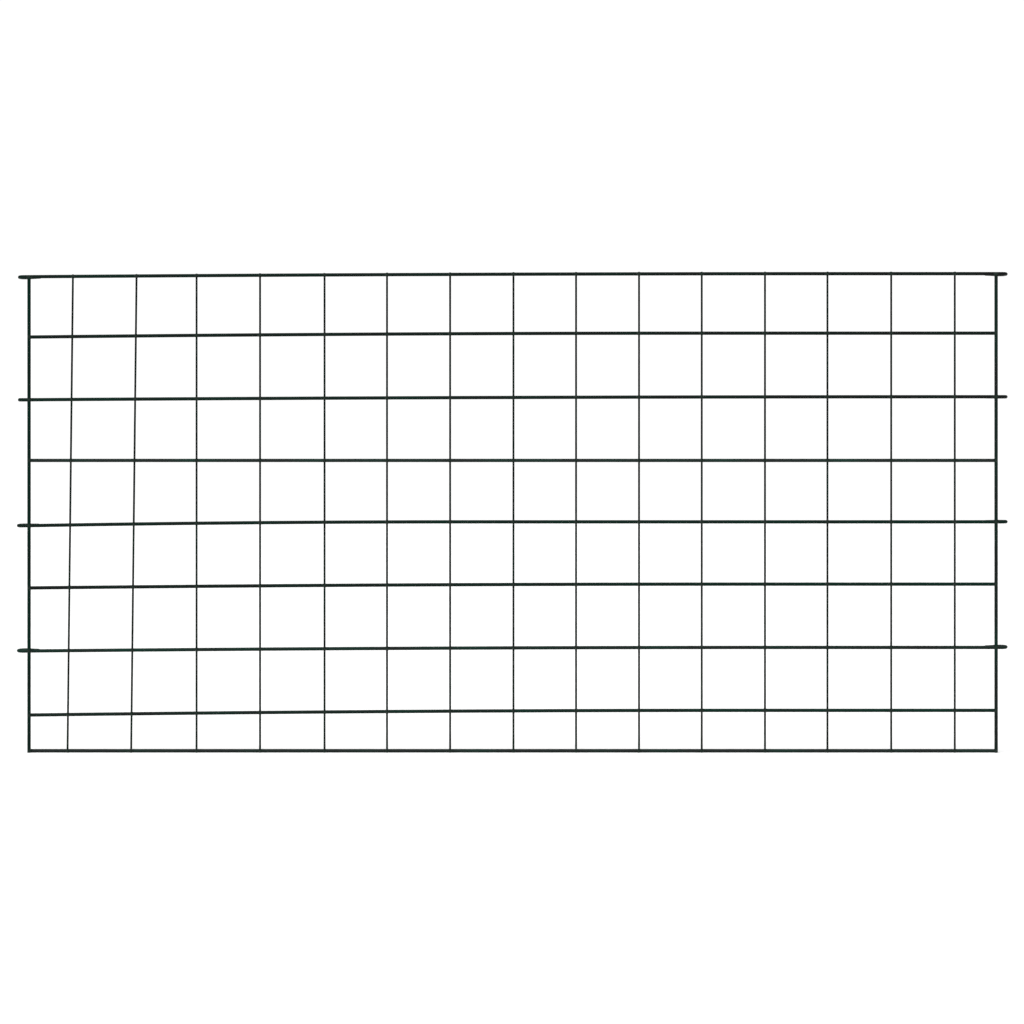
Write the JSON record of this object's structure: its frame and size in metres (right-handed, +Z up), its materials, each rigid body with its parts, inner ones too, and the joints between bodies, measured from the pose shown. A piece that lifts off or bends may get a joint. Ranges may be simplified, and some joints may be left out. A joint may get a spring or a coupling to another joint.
{
  "type": "wire fence panel",
  "caption": "Welded wire mesh fence panel: horizontal line wires, thin vertical stays and side uprights, with bent wire eyes down both sides that slide over ground rods.",
  "frame": {"origin": "on the axis of the left ground rod, at the level of the panel's base", "axes": "+X along the panel to the right rod, +Y to the back, where the eyes are bent to, +Z up"},
  "size_m": [0.7853, 0.014, 0.3805],
  "materials": {
    "coated_wire": "semi-gloss dark green coating"
  },
  "bodies": {
    "root": {"eyed_line_wire_1": "coated_wire", "plain_line_wire_2": "coated_wire", "eyed_line_wire_3": "coated_wire", "plain_line_wire_4": "coated_wire", "eyed_line_wire_5": "coated_wire", "plain_line_wire_6": "coated_wire", "eyed_line_wire_7": "coated_wire", "plain_line_wire_8": "coated_wire", "bottom_line_wire": "coated_wire", "left_upright": "coated_wire", "right_upright": "coated_wire", "stay_wire_01": "coated_wire", "stay_wire_02": "coated_wire", "stay_wire_03": "coated_wire", "stay_wire_04": "coated_wire", "stay_wire_05": "coated_wire", "stay_wire_06": "coated_wire", "stay_wire_07": "coated_wire", "stay_wire_08": "coated_wire", "stay_wire_09": "coated_wire", "stay_wire_10": "coated_wire", "stay_wire_11": "coated_wire", "stay_wire_12": "coated_wire", "stay_wire_13": "coated_wire", "stay_wire_14": "coated_wire", "stay_wire_15": "coated_wire"}
  },
  "joints": []
}
